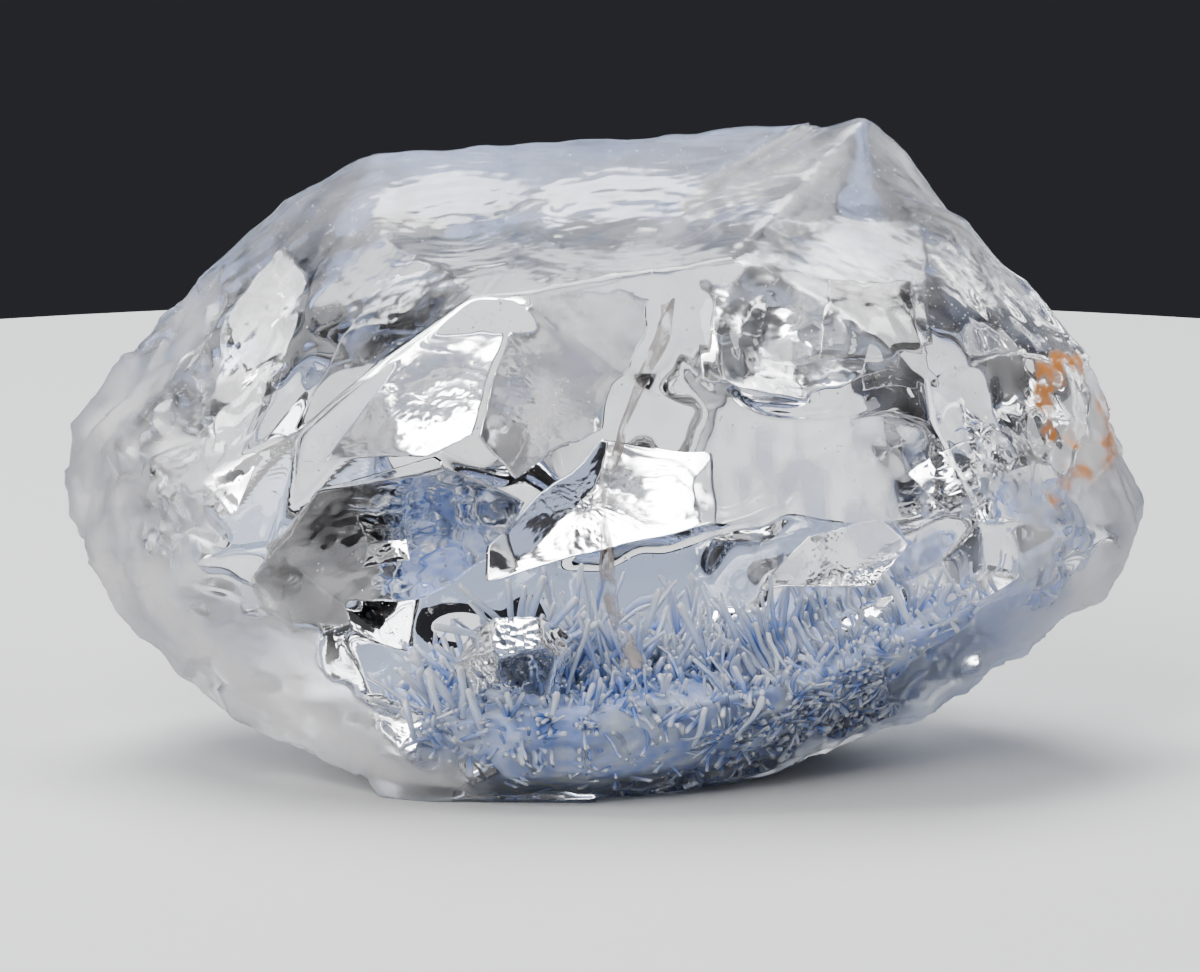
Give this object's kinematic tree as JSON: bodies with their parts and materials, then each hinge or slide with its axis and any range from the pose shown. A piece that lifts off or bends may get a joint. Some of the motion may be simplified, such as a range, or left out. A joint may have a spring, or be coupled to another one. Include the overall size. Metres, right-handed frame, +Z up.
{
  "type": "dumortierite quartz specimen",
  "caption": "Broken piece of clear to milky quartz with flat and shell-shaped fracture faces, and a bed of blue dumortierite needles sealed in its foot.",
  "frame": {"origin": "middle of the stone's box, on the flat it rests on", "axes": "+Z up from the flat it rests on, +X to the right along the stone's length as the picture shows it, +Y away from the camera"},
  "size_m": [0.0278, 0.0146, 0.0157],
  "materials": {
    "quartz": "clear to milky, glassy on fresh fractures and frosted at both ends",
    "dumortierite": "silky, fibrous blue needles with paler tips"
  },
  "bodies": {
    "root": {"quartz_front": "quartz", "quartz_back": "quartz", "dumortierite": "dumortierite"}
  },
  "joints": []
}
